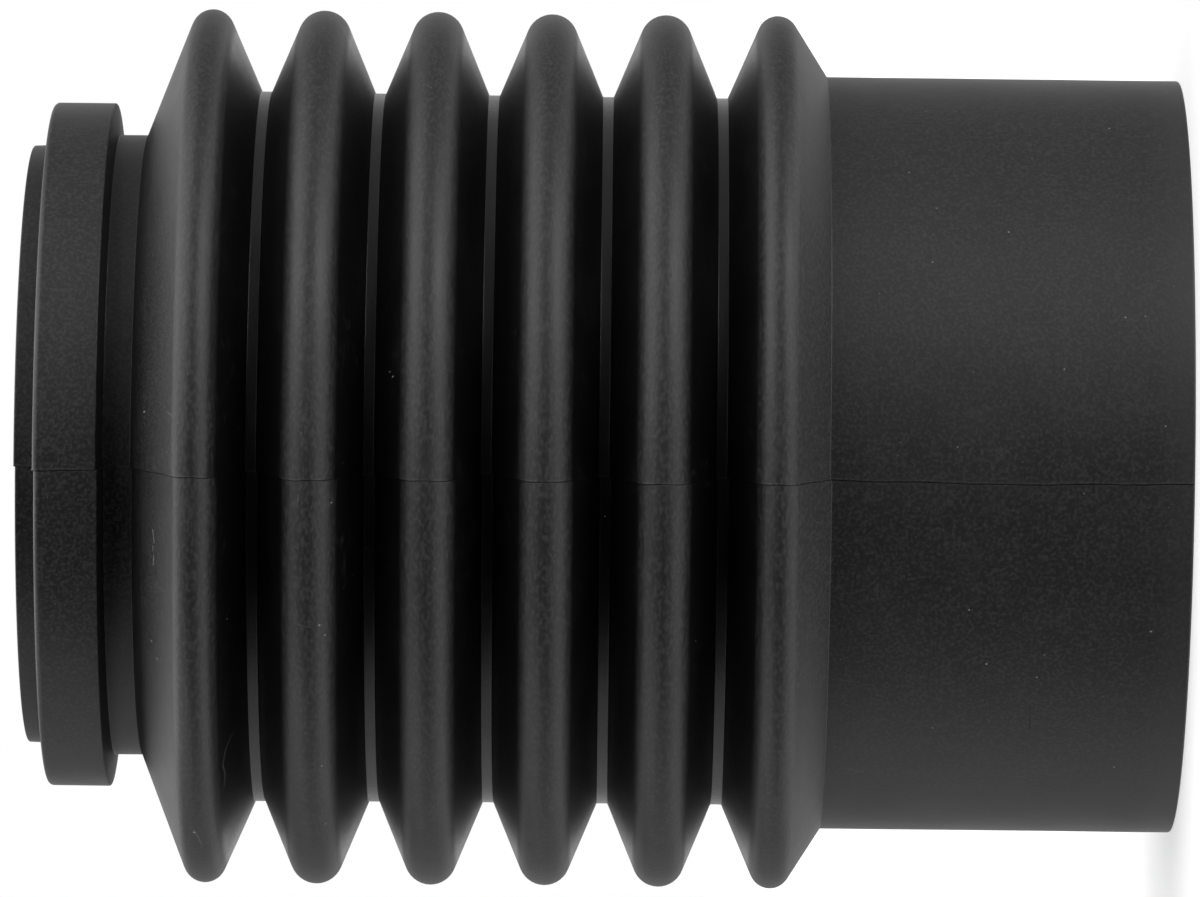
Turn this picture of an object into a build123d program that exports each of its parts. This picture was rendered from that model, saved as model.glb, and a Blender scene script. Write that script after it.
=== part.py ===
from build123d import *
import os
from math import acos, atan2, degrees, hypot

os.makedirs("parts", exist_ok=True)

# Rubber bellows boot: one hollow moulding of even wall. It stands on its sleeve.
# From z = 0 up: the plain sleeve, six folds, the neck with its groove, the collar
# and the thin lip. The Z axis is the boot's own axis. Sizes in millimetres.

# Sleeve, the plain open end that covers a tube
sleeve_diameter = 70.0
sleeve_length = 32.6

# Folds: round crests, straight flanks and narrow flat roots
fold_count = 6
fold_pitch = 10.58
crest_diameter = 81.3
crest_round = 2.4
end_crest_round = 1.9  # the first and the last crest are tighter than the rest
end_crest_inset = 0.2  # and sit this much nearer to their neighbours
root_diameter = 65.9
root_land = 1.0
sleeve_run_out = 4.4  # along the axis, from the sleeve's corner to the first fold's middle
neck_run_out = 5.6  # along the axis, from the last fold's middle to the neck's corner

# Neck end, round one straight bore. Its groove, between the folds and the collar,
# takes a plate's edge or a clamp.
neck_bore = 52.0
neck_wall = 2.85  # from the bore to the groove's floor
groove_width = 3.2
collar_height = 2.95  # how far the collar stands out of the groove
collar_thickness = 5.6
lip_wall = 1.85
lip_height = 2.0

# Wall of the sleeve and of the folds, measured square to its surface
wall = 1.4

# Edge rounding
collar_edge = 0.35
lip_edge = 0.15
rim_edge = 0.2
bore_edge = 0.8

# Diameters at the neck end
neck_diameter = neck_bore + 2 * neck_wall
collar_diameter = neck_diameter + 2 * collar_height
lip_diameter = neck_bore + 2 * lip_wall

# Heights of the features, one above the other
first_fold = sleeve_length + sleeve_run_out
last_fold = first_fold + (fold_count - 1) * fold_pitch
groove_floor = last_fold + neck_run_out
collar_bottom = groove_floor + groove_width
collar_top = collar_bottom + collar_thickness
lip_top = collar_top + lip_height


def crest_arc(height, radius, below, above):
    """A crest's round, ending where the straight flanks to its two corners touch it."""
    centre_radius = crest_diameter / 2 - radius

    def touching_angle(corner, side):
        radial = corner[0] - centre_radius
        axial = corner[1] - height
        spread = acos(radius / hypot(radial, axial))
        return degrees(atan2(axial, radial) - side * spread)

    start = touching_angle(below, -1)
    end = touching_angle(above, 1)
    return CenterArc((centre_radius, height), radius, start, end - start)


def skin():
    """The outer surface's outline, from the sleeve's rim up to the collar."""
    half_gap = (fold_pitch - root_land) / 2
    below = (sleeve_diameter / 2, sleeve_length)
    Line((below[0], 0), below)
    for fold in range(fold_count):
        middle = first_fold + fold * fold_pitch
        height = middle
        radius = crest_round
        above = (root_diameter / 2, middle + half_gap)
        if fold == 0:
            height = middle + end_crest_inset
            radius = end_crest_round
        if fold == fold_count - 1:
            height = middle - end_crest_inset
            radius = end_crest_round
            above = (neck_diameter / 2, groove_floor)
        crest = crest_arc(height, radius, below, above)
        Line(below, crest @ 0)
        Line(crest @ 1, above)
        below = (above[0], above[1] + root_land)
        if fold < fold_count - 1:
            Line(above, below)
    Line(above, (above[0], collar_bottom))


def ring_section(diameter, bottom, top):
    """Half the section of a solid ring round the neck's bore."""
    width = (diameter - neck_bore) / 2
    with Locations((neck_bore / 2, bottom)):
        Rectangle(width, top - bottom, align=(Align.MIN, Align.MIN))


def circles(diameter):
    """The round edges of one diameter on the part being built."""
    edges = bellows_boot.edges().filter_by(GeomType.CIRCLE)
    return edges.filter_by(lambda edge: abs(edge.radius - diameter / 2) < 0.001)


with BuildPart() as bellows_boot:
    with BuildSketch(Plane.XZ):
        with BuildLine() as folded_wall:
            skin()
            offset(amount=wall, side=Side.LEFT, closed=True)
        make_face()
        ring_section(neck_diameter, groove_floor - wall, collar_bottom)
        ring_section(collar_diameter, collar_bottom, collar_top)
        ring_section(lip_diameter, collar_top, lip_top)
    revolve(axis=Axis.Z)
    fillet(circles(collar_diameter), collar_edge)
    fillet(circles(lip_diameter), lip_edge)
    fillet(circles(neck_bore), bore_edge)
    fillet(bellows_boot.edges().group_by(Axis.Z)[0], rim_edge)

bellows_boot.part.label = "bellows_boot"
export_step(bellows_boot.part, "parts/bellows_boot.step")
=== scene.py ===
"""Looks of the rubber bellows boot: one lathed moulding with its parting lines, in black rubber."""

from collections import namedtuple
from math import acos, atan2, cos, hypot, pi, radians, sin, tan

import bpy
from mathutils import Matrix, Vector


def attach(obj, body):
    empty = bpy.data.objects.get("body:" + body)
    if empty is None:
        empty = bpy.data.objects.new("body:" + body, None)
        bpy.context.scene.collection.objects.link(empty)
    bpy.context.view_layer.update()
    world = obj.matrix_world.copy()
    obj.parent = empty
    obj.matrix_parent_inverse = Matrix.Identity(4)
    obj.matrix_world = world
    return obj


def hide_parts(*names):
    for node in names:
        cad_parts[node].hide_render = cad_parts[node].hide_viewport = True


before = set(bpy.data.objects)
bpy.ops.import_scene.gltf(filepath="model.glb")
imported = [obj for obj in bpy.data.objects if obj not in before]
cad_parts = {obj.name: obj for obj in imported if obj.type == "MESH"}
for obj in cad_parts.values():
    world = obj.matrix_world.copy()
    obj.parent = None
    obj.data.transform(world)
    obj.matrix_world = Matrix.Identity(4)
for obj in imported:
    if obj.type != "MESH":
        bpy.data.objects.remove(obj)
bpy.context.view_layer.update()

MM = 0.001

# ---------------------------------------------------------------- sizes of the boot, in millimetres
SLEEVE_RADIUS = 35.0
SLEEVE_LENGTH = 32.6
FOLD_COUNT = 6
FOLD_PITCH = 10.58
CREST_RADIUS = 40.65
CREST_ROUND = 2.4
END_CREST_ROUND = 1.9
END_CREST_INSET = 0.2
ROOT_RADIUS = 32.95
ROOT_LAND = 1.0
SLEEVE_RUN_OUT = 4.4
NECK_RUN_OUT = 5.6
NECK_BORE = 26.0
NECK_RADIUS = 28.85
GROOVE_WIDTH = 3.2
COLLAR_RADIUS = 31.8
COLLAR_THICKNESS = 5.6
LIP_RADIUS = 27.85
LIP_HEIGHT = 2.0
WALL = 1.4

FIRST_FOLD = SLEEVE_LENGTH + SLEEVE_RUN_OUT
LAST_FOLD = FIRST_FOLD + (FOLD_COUNT - 1) * FOLD_PITCH
GROOVE_FLOOR = LAST_FOLD + NECK_RUN_OUT
COLLAR_BOTTOM = GROOVE_FLOOR + GROOVE_WIDTH
COLLAR_TOP = COLLAR_BOTTOM + COLLAR_THICKNESS
LIP_TOP = COLLAR_TOP + LIP_HEIGHT
LEDGE = GROOVE_FLOOR - WALL

# edge rounding
COLLAR_TOP_EDGE = 0.5
COLLAR_UNDER_EDGE = 0.15
LIP_EDGE = 0.15
RIM_EDGE = 0.2
BORE_EDGE = 0.8
CORNER_EASE = 0.12

# Small drafts that the plain frame leaves out: both faces of the collar slope, the groove's floor ends a
# little earlier at both sides, and the lip tapers.
COLLAR_RISE = 0.12
COLLAR_DROP = 0.08
COLLAR_FOOT_DROP = 0.5
FLANK_FOOT_RISE = 0.1
LIP_TAPER = 0.07

# Spacing of the mesh's points on the outside; the inside is this much coarser
RUN_STEP = 2.2
TURN_STEP = radians(10)
INSIDE_COARSER = 2
# a point this near to each end of a straight run keeps the shading of the run flat
RUN_GUARD = 0.1


# ---------------------------------------------------------------- the section
def touching_angle(centre, radius, corner, side):
    """Angle, seen from a crest's centre, at which the flank from that corner touches its round."""
    radial, axial = corner[0] - centre[0], corner[1] - centre[1]
    return atan2(axial, radial) - side * acos(radius / hypot(radial, axial))


def outer_corners():
    """Corners of the outer skin, rim to collar, each as (radius, height, rounding)."""
    half_gap = (FOLD_PITCH - ROOT_LAND) / 2
    last_fold = FOLD_COUNT - 1
    below = (SLEEVE_RADIUS, SLEEVE_LENGTH)
    corners = [(SLEEVE_RADIUS, 0.0, RIM_EDGE), (*below, CORNER_EASE)]
    for fold in range(FOLD_COUNT):
        middle = FIRST_FOLD + fold * FOLD_PITCH
        radius = END_CREST_ROUND if fold in (0, last_fold) else CREST_ROUND
        inset = END_CREST_INSET if fold == 0 else -END_CREST_INSET if fold == last_fold else 0.0
        above = (ROOT_RADIUS, middle + half_gap)
        if fold == last_fold:
            above = (NECK_RADIUS, GROOVE_FLOOR + FLANK_FOOT_RISE)
        centre = (CREST_RADIUS - radius, middle + inset)
        start = touching_angle(centre, radius, below, -1)
        end = touching_angle(centre, radius, above, 1)
        reach = radius / cos((end - start) / 2)
        facing = (start + end) / 2
        corners.append((centre[0] + reach * cos(facing), centre[1] + reach * sin(facing), radius))
        corners.append((*above, CORNER_EASE))
        if fold < last_fold:
            below = (above[0], above[1] + ROOT_LAND)
            corners.append((*below, CORNER_EASE))
    corners.append((NECK_RADIUS, COLLAR_BOTTOM - COLLAR_FOOT_DROP, CORNER_EASE))
    return corners


def inner_corners(corners):
    """The same skin a wall's thickness further in, from the sleeve's rim to the ledge under the neck."""
    moved = []
    for low, high in zip(corners[:-2], corners[1:-1]):
        along = Vector((high[0] - low[0], high[1] - low[1])).normalized()
        inward = Vector((-along.y, along.x)) * WALL
        moved.append((Vector(low[:2]) + inward, along))
    found = [(SLEEVE_RADIUS - WALL, 0.0, RIM_EDGE)]
    for (point, along), (other, onward), corner in zip(moved[:-1], moved[1:], corners[1:-2]):
        cross = along.x * onward.y - along.y * onward.x
        gap = other - point
        reach = (gap.x * onward.y - gap.y * onward.x) / cross
        rounding = corner[2] - WALL if cross > 0 else corner[2] + WALL
        place = point + along * reach
        found.append((place.x, place.y, max(rounding, CORNER_EASE)))
    point, along = moved[-1]
    meeting = point + along * ((LEDGE - point.y) / along.y)
    found.append((meeting.x, LEDGE, CORNER_EASE))
    return found


def neck_corners():
    """Collar, lip and bore, from the groove's upper corner round to the ledge."""
    return [
        (COLLAR_RADIUS, COLLAR_BOTTOM - COLLAR_DROP, COLLAR_UNDER_EDGE),
        (COLLAR_RADIUS, COLLAR_TOP + COLLAR_RISE, COLLAR_TOP_EDGE),
        (LIP_RADIUS, COLLAR_TOP, CORNER_EASE),
        (LIP_RADIUS - LIP_TAPER, LIP_TOP, LIP_EDGE),
        (NECK_BORE, LIP_TOP, BORE_EDGE),
        (NECK_BORE, LEDGE, BORE_EDGE),
    ]


def rounded_corner(corner, before, after, coarseness):
    """Points along the arc that rounds a corner between its two neighbours."""
    here = Vector(corner[:2])
    radius = corner[2]
    back = (Vector(before[:2]) - here).normalized()
    on = (Vector(after[:2]) - here).normalized()
    half = back.angle(on) / 2
    middle = here + (back + on).normalized() * (radius / sin(half))
    first = here + back * (radius / tan(half))
    last = here + on * (radius / tan(half))
    start = atan2(first.y - middle.y, first.x - middle.x)
    turn = (atan2(last.y - middle.y, last.x - middle.x) - start + pi) % (2 * pi) - pi
    steps = max(2, round(abs(turn) / TURN_STEP / coarseness))
    angles = [start + turn * k / steps for k in range(steps + 1)]
    return [middle + Vector((cos(angle), sin(angle))) * radius for angle in angles]


def rounded_loop(corners, inside_from):
    """Points along a closed outline with its corners rounded; they are sparser from one corner on."""
    count = len(corners)
    coarseness = [INSIDE_COARSER if i >= inside_from else 1 for i in range(count)]
    arcs = [
        rounded_corner(corners[i], corners[i - 1], corners[(i + 1) % count], coarseness[i])
        for i in range(count)
    ]
    points = []
    for i, arc in enumerate(arcs):
        end = arcs[(i + 1) % count][0]
        run = end - arc[-1]
        cuts = max(1, round(run.length / RUN_STEP / coarseness[i]))
        guard = run.normalized() * min(RUN_GUARD, run.length / (3 * cuts))
        points += arc
        points.append(arc[-1] + guard)
        points += [arc[-1] + run * (k / cuts) for k in range(1, cuts)]
        points.append(end - guard)
    return points


def section_points():
    """Up the outside and down the inside, each point as (radius, height, outward direction, is outside)."""
    skin = outer_corners()
    outside_corners = skin + neck_corners()
    inside_corners = inner_corners(skin)[::-1]
    outline = rounded_loop(outside_corners + inside_corners, inside_from=len(outside_corners))
    top = max(range(len(outline)), key=lambda i: outline[i].y)
    points = []
    for row, point in enumerate(outline):
        before, after = outline[row - 1], outline[(row + 1) % len(outline)]
        outward = Vector((after.y - before.y, before.x - after.x)).normalized()
        points.append((point.x, point.y, outward, row <= top))
    return points


# ---------------------------------------------------------------- the moulding's mesh
# The mould's halves met along these two lines, and the +X half sat a little further up. Each line is a low
# ridge with a fine slit along its -X side: (distance from the line, height), in millimetres.
SEAM_ANGLES = (radians(-94.1), radians(85.9))
SEAM_SECTION = (
    (-1.2, 0.0), (-0.5, 0.0), (-0.2, 0.0), (-0.13, 0.0), (-0.1, 0.0), (-0.085, -0.16), (-0.04, -0.16),
    (-0.025, 0.025), (0.0, 0.03), (0.04, 0.025), (0.11, 0.004), (0.2, 0.0), (0.5, 0.0), (1.2, 0.0),
)
SEAM_REACH = 1.2
SLIT = -0.065
END_SEAM_SPREAD = 1.45  # how much wider and higher the line is on the sleeve and the collar than on the folds
COLUMNS_BETWEEN_SEAMS = 80
# how the ridge's height varies along the line: mean share, swing and radians a mm
RIDGE_VARIES = (0.75, 0.25, 1.7)
# how the line strays: sway in mm, radians a mm, phase, and what the second line adds to the phase
SEAM_WANDER = ((0.10, 0.21, 1.3, 1.0), (0.05, 0.83, 0.0, 2.1), (0.03, 2.4, 0.0, 0.0))

# The shift between the halves grows from nothing at the first height to its full size at the second. Near the
# lip both halves come down, also between two heights, so that neither passes the boot's full height.
HALVES_SHIFT = 0.14
SHIFT_GROWS = (4.0, 26.0)
SHIFT_COMES_DOWN = (96.0, 104.0)
TOP_CLEARANCE = 0.001

# How far each crest falls short of the full diameter, and each root is off its own, sleeve end first. Both
# fade out at the ends of the folds: the crests' past the outermost crests, the roots' short of them. Reach
# and fade are counted in folds.
CREST_SHORT = (0.03, 0.07, 0.09, 0.0, 0.0, 0.0)
ROOT_OFF = (-0.05, -0.04, -0.01, 0.04, 0.1)
TRIM_REACH = 0.2
CREST_TRIM_FADE = 0.3
ROOT_TRIM_FADE = 0.2
TRIM_BLEND = 1.0  # mm of radius within which the root's share turns to the crest's
FOLDS_INNER_RADIUS = ROOT_RADIUS - 2.5

# slow waviness of the skin: its depth in mm, and its waves as (share, count round the boot, radians a mm,
# phase)
SAG = 0.035
SAG_WAVES = ((0.45, 2, 0.11, 0.7), (0.3, 3, -0.23, 2.0), (0.25, 7, 0.61, 4.1))

# a column of the mesh: nearness is 1 on the parting line and 0 away from it, half is 1 on the +X half and -1
# on the other
Column = namedtuple("Column", "heading offset nearness ridge side half")


def blend(low, high, value):
    """Smooth step from 0 at low to 1 at high."""
    share = min(max((value - low) / (high - low), 0.0), 1.0)
    return share * share * (3 - 2 * share)


def within(low, high, fade, value):
    """1 between low and high, fading to 0 outside them."""
    return blend(low - fade, low, value) * (1 - blend(high, high + fade, value))


def seam_wander(height, side):
    """How far the parting line strays sideways at a height, in millimetres."""
    return sum(
        sway * sin(rate * height + phase + second * side) for sway, rate, phase, second in SEAM_WANDER
    )


def half_shift(height, half):
    """Shift along the axis of one mould half at a height."""
    share = blend(*SHIFT_GROWS, height)
    return HALVES_SHIFT * share * (half - blend(*SHIFT_COMES_DOWN, height)) / 2


def unevenness(height, angle):
    """Slow waviness of the moulded skin, never outwards of its nominal size."""
    wave = sum(share * sin(count * angle + rate * height + phase) for share, count, rate, phase in SAG_WAVES)
    return -SAG * (1 + wave) / 2


def fold_trim(radius, height):
    """The small differences in diameter between one fold and the next."""
    place = (height - FIRST_FOLD) / FOLD_PITCH
    last = FOLD_COUNT - 1
    crest = min(max(round(place), 0), last)
    root = min(max(round(place - 0.5), 0), last - 1)
    crest_share = blend(ROOT_RADIUS + TRIM_BLEND, CREST_RADIUS - TRIM_BLEND, radius)
    at_crests = within(-TRIM_REACH, last + TRIM_REACH, CREST_TRIM_FADE, place)
    at_roots = within(TRIM_REACH, last - TRIM_REACH, ROOT_TRIM_FADE, place)
    return ROOT_OFF[root] * (1 - crest_share) * at_roots - CREST_SHORT[crest] * crest_share * at_crests


def mesh_columns():
    """The mesh's columns, round the boot by growing heading."""
    clear = SEAM_REACH / CREST_RADIUS
    step = (pi - 2 * clear) / COLUMNS_BETWEEN_SEAMS
    columns = []
    # the +X half follows the first line and comes before the second one
    for side, (seam, onward) in enumerate(zip(SEAM_ANGLES, (1, -1))):
        for distance, ridge in SEAM_SECTION[::onward]:
            half = 1 if distance > SLIT else -1
            nearness = 1 - abs(distance) / SEAM_REACH
            columns.append(Column(seam, distance * onward, nearness, ridge, side, half))
        for k in range(1, COLUMNS_BETWEEN_SEAMS):
            columns.append(Column(seam + clear + step * k, 0.0, 0.0, 0.0, side, onward))
    return columns


def skin_point(section_point, column):
    """Where a point of the section lies in one of the mesh's columns, in metres."""
    r, z, outward, outside = section_point
    at_end = z <= SLEEVE_LENGTH or z >= COLLAR_BOTTOM
    spread = END_SEAM_SPREAD if outside and at_end else 1.0
    sideways = column.offset * spread + seam_wander(z, column.side) * column.nearness
    heading = column.heading + sideways / CREST_RADIUS
    radius = r + unevenness(z, heading)
    height = z + half_shift(z, column.half)
    if outside:
        mean, swing, rate = RIDGE_VARIES
        ridge = column.ridge * (mean + swing * sin(rate * z + column.side)) * spread
        radius += outward.x * ridge
        height += outward.y * ridge
    if r > FOLDS_INNER_RADIUS:
        radius += fold_trim(r, z)
    height = min(max(height, 0.0), LIP_TOP - TOP_CLEARANCE)
    return radius * cos(heading) * MM, radius * sin(heading) * MM, height * MM


def closed_grid_faces(rows, width):
    """Four-cornered faces over a grid of points that closes both ways."""
    faces = []
    for row in range(rows):
        here, above = row * width, (row + 1) % rows * width
        for column in range(width):
            beside = (column + 1) % width
            faces.append((here + column, here + beside, above + beside, above + column))
    return faces


def build_boot():
    section = section_points()
    columns = mesh_columns()
    points = [skin_point(section_point, column) for section_point in section for column in columns]
    mesh = bpy.data.meshes.new("boot_skin")
    mesh.from_pydata(points, [], closed_grid_faces(len(section), len(columns)))
    mesh.shade_smooth()
    boot = bpy.data.objects.new("boot_skin", mesh)
    bpy.context.scene.collection.objects.link(boot)
    return boot


# ---------------------------------------------------------------- node helpers
class Graph:
    """Short calls for building a node tree."""

    def __init__(self, tree):
        self.nodes = tree.nodes
        self.links = tree.links

    def put(self, kind, inputs=(), **settings):
        node = self.nodes.new(kind)
        for name, value in settings.items():
            setattr(node, name, value)
        for key, value in dict(inputs).items():
            if isinstance(value, bpy.types.NodeSocket):
                self.links.new(value, node.inputs[key])
            elif value is not None:
                node.inputs[key].default_value = value
        return node

    def math(self, operation, a, b=None, c=None):
        return self.put("ShaderNodeMath", {0: a, 1: b, 2: c}, operation=operation).outputs[0]

    def strongest(self, values):
        total = values[0]
        for value in values[1:]:
            total = self.math("MAXIMUM", total, value)
        return total

    def vector(self, operation, a, b=None, scale=None):
        return self.put("ShaderNodeVectorMath", {0: a, 1: b, "Scale": scale}, operation=operation)

    def ramp(self, value, low, high, out_low=0.0, out_high=1.0):
        inputs = {"Value": value, "From Min": low, "From Max": high, "To Min": out_low, "To Max": out_high}
        # a smooth step needs no clamp, and without one the long chains of marks stay cheap
        node = self.put("ShaderNodeMapRange", inputs, interpolation_type="SMOOTHSTEP", clamp=False)
        return node.outputs["Result"]

    def mixed(self, share, under, over):
        node = self.put("ShaderNodeMixRGB", {"Fac": share, "Color1": under, "Color2": over})
        return node.outputs["Color"]

    def noise(self, place, scale, detail=2.0, roughness=0.5):
        inputs = {"Vector": place, "Scale": scale, "Detail": detail, "Roughness": roughness}
        return self.put("ShaderNodeTexNoise", inputs).outputs["Fac"]


# ---------------------------------------------------------------- the rubber
BLACK = (0.0004, 0.0004, 0.0004, 1)
GRAIN_LIGHT = (0.0125, 0.0125, 0.0127, 1)
# this grey is also the painted light at the sleeve's end
GREY_BLOOM_AND_RIM_LIGHT = (0.016, 0.016, 0.0165, 1)
SCRATCHED = (0.07, 0.07, 0.068, 1)
DUST = (0.22, 0.22, 0.215, 1)

# the finish differs by place: dull at the ends, duller and streaked on the crests, smooth in the valleys
ROUGHNESS = 0.52
CREST_ROUGHNESS = 0.55
VALLEY_ROUGHNESS = 0.37
TEXTURE_ROUGHNESS = 0.12
MARK_ROUGHNESS = 0.4
# the mottling adds from the first of these to the second, as its noise rises from one level to the other
MOTTLE_ROUGHNESS = (-0.015, 0.02)
DULLING_LEVELS = (0.3, 0.7)

# the skin's texture in millimetres: fine grain, and short streaks round the crests
GRAIN_SIZE = 0.32
STREAK_SIZE = 0.3
STREAK_STRETCH = (0.55, 0.55, 1.0)
GRAIN_DEPTH = 0.013
STREAK_DEPTH = 0.03
# the colour's flecks follow the texture between these levels, and are this much lighter above the sleeve
FLECK_LEVELS = (0.38, 0.8)
FLECK_ABOVE_SLEEVE = 1.3

# Where a finish begins and ends, in millimetres: the folds' ends, and depths below the crests' tops
FOLDS_EDGE = 0.3
VALLEY_DEPTHS = (1.4, 2.4)
CREST_DEPTHS = (2.6, 1.2)
SLEEVE_EDGE = 0.5
# the outside, where marks show: skin less than this far below the roots' radius, and the neck above its ledge
SKIN_DEPTHS = (0.9, 0.6)
NECK_RADII = (27.0, 27.4)
LEDGE_EDGE = 0.2

# A faint grey bloom lies where two slow noises are both strong: the mottling and the smaller blotches, with
# their sizes in millimetres and the levels between which each one begins to show
MOTTLE_SIZE = 6.25
MOTTLE_LEVELS = (0.4, 0.65)
BLOTCH_SIZE = 10 / 9
BLOTCH_LEVELS = (0.5, 0.75)
BLOOM_SHARE = 0.35
# painted light: the sleeve's end is a little greyer up to this height, standing in for the brighter light
# that falls on that end
RIM_LIGHT_HEIGHT = 4.5
RIM_LIGHT_SHARE = 0.45

# Marks on the skin, each as (strength, half width, then its points as heading in degrees and height in mm)
SCRATCHES = (
    (0.9, 0.045, (-102.7, 93.35), (-104.6, 93.2)),
    (0.7, 0.04, (-105.2, 93.3), (-106.0, 93.35)),
    (0.9, 0.045, (-106.6, 93.25), (-108.2, 93.3)),
    (0.6, 0.05, (-85.6, 91.9), (-86.4, 91.3)),
    (0.5, 0.04, (-86.9, 91.2), (-87.2, 90.7)),
    (0.6, 0.035, (-136.2, 86.3), (-137.4, 86.9), (-139.9, 87.2), (-142.4, 87.0), (-144.8, 87.15)),
    (0.8, 0.07, (-149.6, 89.9), (-150.3, 89.7), (-153.5, 89.3)),
    (0.6, 0.05, (-145.0, 30.7), (-145.4, 29.9)),
    (0.7, 0.05, (-145.6, 30.4), (-146.0, 29.0)),
    (0.3, 0.04, (-157.5, 22.0), (-160.5, 18.4)),
    (0.25, 0.04, (-158.6, 20.5), (-160.1, 19.6)),
    (0.5, 0.04, (-96.0, 80.1), (-97.1, 80.2)),
    (0.35, 0.035, (-113.0, 80.4), (-113.4, 78.9)),
)
DULL_LINES = (
    (0.8, 0.05, (-104.8, 3.74), (-111.0, 3.6), (-116.6, 3.52)),
    (0.5, 0.05, (-130.2, 14.2), (-135.2, 14.1)),
)
STROKE_EDGE = (0.5, 1.7)  # a stroke fades out between these shares of its half width

# Dust on the side that the photo shows, each as (heading in degrees, height, size)
SPECKS = (
    (-84.7, 94.3, 0.1), (-150.2, 89.9, 0.12), (-31.2, 7.2, 0.09), (-43.1, 25.6, 0.07), (-54.9, 16.7, 0.08),
    (-60.4, 23.6, 0.07), (-69.1, 6.3, 0.08), (-77.2, 11.8, 0.07), (-85.5, 2.7, 0.07), (-88.9, 21.3, 0.06),
    (-113.5, 20.0, 0.08), (-122.6, 18.3, 0.1), (-124.9, 13.7, 0.08), (-144.0, 6.2, 0.09), (-116.7, 3.6, 0.1),
    (-113.2, 78.2, 0.1), (-114.8, 77.7, 0.08), (-135.5, 78.1, 0.08), (-148.5, 77.9, 0.08),
    (-97.2, 77.2, 0.07), (-80.1, 71.9, 0.09), (-79.2, 72.2, 0.06), (-121.5, 93.6, 0.08), (-123.0, 93.0, 0.08),
)
SPECK_STRENGTH = 0.75
SPECK_EDGE = (0.4, 1.5)
# and dust scattered all over by a pattern of cells, each as (cells a mm, size, strength)
SCATTERED = ((0.3, 0.07, 0.45), (0.55, 0.05, 0.3))
SCATTERED_EDGE = (0.6, 1.4)


def surface_places(g):
    """Nodes for a point's place in millimetres: plain, heading in radians, distance from the axis, height."""
    coords = g.put("ShaderNodeTexCoord").outputs["Object"]
    place = g.vector("SCALE", coords, scale=1 / MM).outputs[0]
    parts = g.put("ShaderNodeSeparateXYZ", {0: place}).outputs
    heading = g.math("ARCTAN2", parts["Y"], parts["X"])
    level = g.put("ShaderNodeCombineXYZ", {"X": parts["X"], "Y": parts["Y"]}).outputs[0]
    distance = g.vector("LENGTH", level).outputs["Value"]
    return place, heading, distance, parts["Z"]


def strokes(g, spot, marks):
    """Strongest of a set of strokes, each fading at its edges; spot is (arc, height) in millimetres."""
    drawn = []
    for strength, width, *points in marks:
        fades, gone = (share * width for share in STROKE_EDGE)
        for (a0, z0), (a1, z1) in zip(points[:-1], points[1:]):
            start = Vector((radians(a0) * CREST_RADIUS, z0, 0))
            run = Vector((radians(a1) * CREST_RADIUS, z1, 0)) - start
            gap = g.vector("SUBTRACT", spot, start).outputs[0]
            along = g.vector("DOT_PRODUCT", gap, run / run.length_squared).outputs["Value"]
            along = g.math("MINIMUM", g.math("MAXIMUM", along, 0.0), 1.0)
            nearest = g.vector("SCALE", tuple(run), scale=along).outputs[0]
            off = g.vector("DISTANCE", gap, nearest).outputs["Value"]
            drawn.append(g.ramp(off, fades, gone, strength, 0.0))
    return g.strongest(drawn)


def dust(g, place, spot, outside):
    """Specks where the photo shows them, and a few scattered everywhere."""
    placed = []
    for angle, level, size in SPECKS:
        off = g.vector("DISTANCE", spot, (radians(angle) * CREST_RADIUS, level, 0.0)).outputs["Value"]
        fades, gone = (share * size for share in SPECK_EDGE)
        placed.append(g.ramp(off, fades, gone, SPECK_STRENGTH, 0.0))
    specks = [g.math("MULTIPLY", g.strongest(placed), outside)]
    for scale, size, strength in SCATTERED:
        cells = g.put("ShaderNodeTexVoronoi", {"Vector": place, "Scale": scale, "Randomness": 1.0})
        fades, gone = (share * size * scale for share in SCATTERED_EDGE)
        specks.append(g.ramp(cells.outputs["Distance"], fades, gone, strength, 0.0))
    return g.strongest(specks)


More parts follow.
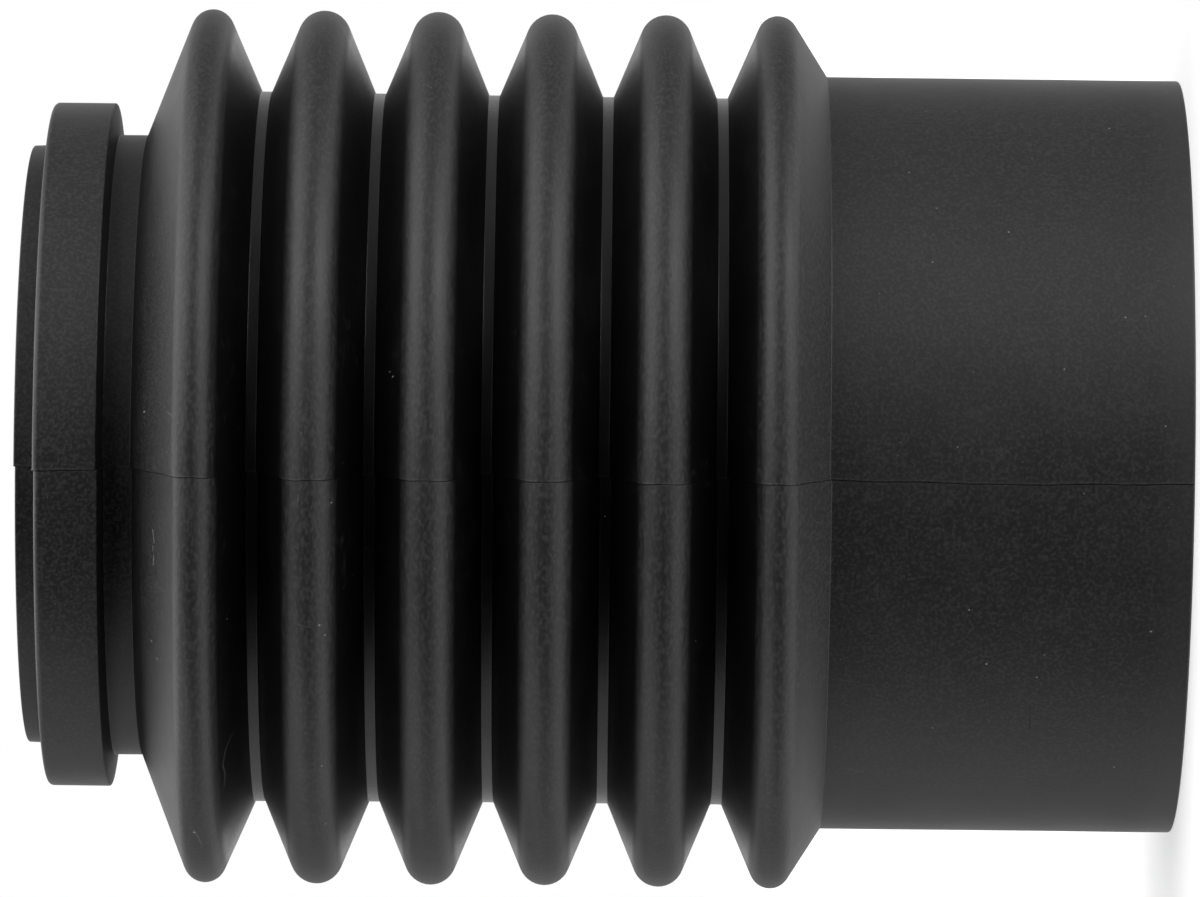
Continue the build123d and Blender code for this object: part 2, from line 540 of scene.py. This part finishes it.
def rubber():
    material = bpy.data.materials.new("moulded_rubber")
    material.use_nodes = True
    g = Graph(material.node_tree)
    shader = g.nodes["Principled BSDF"]
    place, heading, distance, height = surface_places(g)

    # zones of the skin
    in_folds = g.math(
        "MULTIPLY",
        g.ramp(height, FIRST_FOLD - FOLDS_EDGE, FIRST_FOLD + FOLDS_EDGE),
        g.ramp(height, LAST_FOLD + FOLDS_EDGE, LAST_FOLD - FOLDS_EDGE),
    )
    in_valley = g.math("MULTIPLY", in_folds, g.ramp(distance, *(CREST_RADIUS - d for d in VALLEY_DEPTHS)))
    on_crest = g.ramp(distance, *(CREST_RADIUS - d for d in CREST_DEPTHS))
    on_neck = g.math("MULTIPLY", g.ramp(height, LEDGE, LEDGE + LEDGE_EDGE), g.ramp(distance, *NECK_RADII))
    outside = g.math("MAXIMUM", g.ramp(distance, *(ROOT_RADIUS - d for d in SKIN_DEPTHS)), on_neck)

    # texture left by the mould, turning from grain to streaks on the crests, and slow mottling
    grain = g.noise(place, 1 / GRAIN_SIZE, detail=1.0)
    stretched = g.vector("MULTIPLY", place, STREAK_STRETCH).outputs[0]
    streaks = g.noise(stretched, 1 / STREAK_SIZE, detail=1.0)
    texture = g.math("MULTIPLY_ADD", g.math("SUBTRACT", streaks, grain), on_crest, grain)
    mottle = g.noise(place, 1 / MOTTLE_SIZE, detail=3.0, roughness=0.55)
    blotch = g.noise(place, 1 / BLOTCH_SIZE, detail=3.0, roughness=0.6)

    # marks
    arc = g.math("MULTIPLY", heading, CREST_RADIUS)
    spot = g.put("ShaderNodeCombineXYZ", {"X": arc, "Y": height}).outputs[0]
    scratches = g.math("MULTIPLY", strokes(g, spot, SCRATCHES), outside)
    dull_lines = g.math("MULTIPLY", strokes(g, spot, DULL_LINES), outside)
    specks = dust(g, place, spot, outside)

    # colour: black with lighter flecks outside the valleys, which keeps the valleys darker as painted shade
    # in the folds; a faint grey bloom, painted light at the sleeve's end, then the marks
    fleck = g.math("MULTIPLY", g.ramp(texture, *FLECK_LEVELS), g.math("SUBTRACT", 1.0, in_valley))
    sleeve_end = (SLEEVE_LENGTH - SLEEVE_EDGE, SLEEVE_LENGTH + SLEEVE_EDGE)
    fleck = g.math("MULTIPLY", fleck, g.ramp(height, *sleeve_end, 1.0, FLECK_ABOVE_SLEEVE))
    patches = g.ramp(mottle, *MOTTLE_LEVELS, 0.0, BLOOM_SHARE)
    bloom = g.math("MULTIPLY", g.ramp(blotch, *BLOTCH_LEVELS), patches)
    # painted light: the colour turns towards grey near the sleeve's end, where more light falls
    painted_rim_light = g.ramp(height, RIM_LIGHT_HEIGHT, 0.0, 0.0, RIM_LIGHT_SHARE)
    colour = g.mixed(fleck, BLACK, GRAIN_LIGHT)
    for share, shade in ((bloom, GREY_BLOOM_AND_RIM_LIGHT), (painted_rim_light, GREY_BLOOM_AND_RIM_LIGHT), (scratches, SCRATCHED), (specks, DUST)):
        colour = g.mixed(share, colour, shade)
    g.links.new(colour, shader.inputs["Base Color"])

    # gloss: mottled, duller on the crests and in the marks, smoother in the valleys
    gloss = g.ramp(mottle, *DULLING_LEVELS, *(ROUGHNESS + more for more in MOTTLE_ROUGHNESS))
    gloss = g.math("MULTIPLY_ADD", on_crest, CREST_ROUGHNESS - ROUGHNESS, gloss)
    gloss = g.math("MULTIPLY_ADD", in_valley, VALLEY_ROUGHNESS - ROUGHNESS, gloss)
    gloss = g.math("MULTIPLY_ADD", g.math("ADD", texture, -0.5), TEXTURE_ROUGHNESS, gloss)
    gloss = g.math("MULTIPLY_ADD", g.strongest([scratches, specks, dull_lines]), MARK_ROUGHNESS, gloss)
    g.links.new(gloss, shader.inputs["Roughness"])

    # relief
    depth = g.math("MULTIPLY_ADD", on_crest, STREAK_DEPTH - GRAIN_DEPTH, GRAIN_DEPTH)
    relief = g.math("MULTIPLY", texture, depth)
    bump = g.put("ShaderNodeBump", {"Strength": 1.0, "Distance": MM, "Height": relief})
    g.links.new(bump.outputs["Normal"], shader.inputs["Normal"])
    return material


# ---------------------------------------------------------------- camera
SENSOR = 36.0
CAMERA_DISTANCE = 0.8889
CAMERA_HEIGHT = 0.05257
CAMERA_SIDE = 0.00015
LENS = 286.17
NEAREST_SEEN = 0.01
LOOK_UP = radians(0.0506)
ROLL = radians(0.6669)


def place_camera():
    """Level with the boot's middle, turned on its side, so that the boot's axis lies across the picture."""
    data = bpy.data.cameras.new("photo_camera")
    data.sensor_width = SENSOR
    data.lens = LENS
    data.clip_start = NEAREST_SEEN
    camera = bpy.data.objects.new("photo_camera", data)
    back = Vector((0, -cos(LOOK_UP), -sin(LOOK_UP)))
    right = Matrix.Rotation(-ROLL, 3, "Y") @ Vector((0, 0, -1))
    right = (right - back * right.dot(back)).normalized()
    up = back.cross(right)
    turn = Matrix((right, up, back)).transposed()
    camera.matrix_world = Matrix.Translation((CAMERA_SIDE, -CAMERA_DISTANCE, CAMERA_HEIGHT)) @ turn.to_4x4()
    bpy.context.scene.collection.objects.link(camera)
    bpy.context.scene.camera = camera


# ---------------------------------------------------------------- floor and light
WHITE = (1, 1, 1, 1)
FLOOR_COLOUR = (0.55, 0.55, 0.55, 1)
FLOOR_GLOW = 0.35
FLOOR_REACH = 4.0


def add_floor():
    """White light table: it glows, takes the boot's shadow, and lets the light from below through."""
    mesh = bpy.data.meshes.new("floor")
    low, high = -FLOOR_REACH, FLOOR_REACH
    mesh.from_pydata([(low, low, 0), (high, low, 0), (high, high, 0), (low, high, 0)], [], [(0, 1, 2, 3)])
    floor = bpy.data.objects.new("floor", mesh)
    bpy.context.scene.collection.objects.link(floor)
    material = bpy.data.materials.new("light_table")
    material.use_nodes = True
    g = Graph(material.node_tree)
    g.nodes.clear()
    diffuse = g.put("ShaderNodeBsdfDiffuse", {"Color": FLOOR_COLOUR})
    path = g.put("ShaderNodeLightPath").outputs
    seen = g.strongest([path["Is Camera Ray"], path["Is Glossy Ray"], path["Is Transmission Ray"]])
    strength = g.math("MULTIPLY", seen, FLOOR_GLOW)
    glow = g.put("ShaderNodeEmission", {"Color": WHITE, "Strength": strength})
    both = g.put("ShaderNodeAddShader", {0: diffuse.outputs[0], 1: glow.outputs[0]})
    g.put("ShaderNodeOutputMaterial", {"Surface": both.outputs[0]})
    floor.data.materials.append(material)
    # the floor's reflection would turn the rubber's blacks grey
    floor.visible_glossy = False
    floor.visible_shadow = False


# Soft boxes round the boot, each as (name, heading, height, inner, outer, strength). Heading is in degrees
# from the camera's side towards +X, height in degrees above the floor; the light is full within the inner
# angle and fades out at the outer one.
SOFT_BOXES = (
    ("top", 191, 69, 29, 35, 2.86),
    ("upper", 74, 48, 17, 38, 2.7),
    ("front", 22, 45, 4, 35, 2.12),
    ("side", -79, 35, 6, 28, 2.1),
    ("under", -75, -81, 40, 68, 1.62),
    ("key", 53, -32, 10, 21.5, 6.7),
    ("back", 127, -8, 56, 60, 0.41),
    ("fill", -109, 3, 26, 39, 0.69),
)
ROOM_LIGHT = 0.0018
# a glossy ray meets the white backdrop as the +Y part of its direction rises from the first to the second
BACKDROP_EDGE = (0.75, 0.95)


def light_world():
    """Soft boxes by direction; the camera, and glossy rays that leave past the boot, see a white backdrop."""
    world = bpy.data.worlds.new("studio")
    world.use_nodes = True
    g = Graph(world.node_tree)
    heading = g.put("ShaderNodeTexCoord").outputs["Generated"]
    light = ROOM_LIGHT
    for _, azimuth, height, inner, outer, strength in SOFT_BOXES:
        a, e = radians(azimuth), radians(height)
        axis = (cos(e) * sin(a), -cos(e) * cos(a), sin(e))
        facing = g.vector("DOT_PRODUCT", heading, axis).outputs["Value"]
        box = g.ramp(facing, cos(radians(outer)), cos(radians(inner)), 0.0, strength)
        light = g.math("ADD", box, light)
    past = g.vector("DOT_PRODUCT", heading, (0.0, 1.0, 0.0)).outputs["Value"]
    path = g.put("ShaderNodeLightPath").outputs
    mirrored = g.math("MULTIPLY", path["Is Glossy Ray"], g.ramp(past, *BACKDROP_EDGE))
    seen = g.strongest([path["Is Camera Ray"], path["Is Transmission Ray"], mirrored])
    level = g.put("ShaderNodeMix", {"Factor": seen, "A": light, "B": 1.0}, data_type="FLOAT")
    background = g.nodes["Background"]
    background.inputs["Color"].default_value = WHITE
    g.links.new(level.outputs["Result"], background.inputs["Strength"])
    bpy.context.scene.world = world


boot = build_boot()
boot.data.materials.append(rubber())
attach(boot, "root")
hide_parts("bellows_boot")
place_camera()
add_floor()
light_world()
bpy.context.scene.view_settings.view_transform = "Standard"
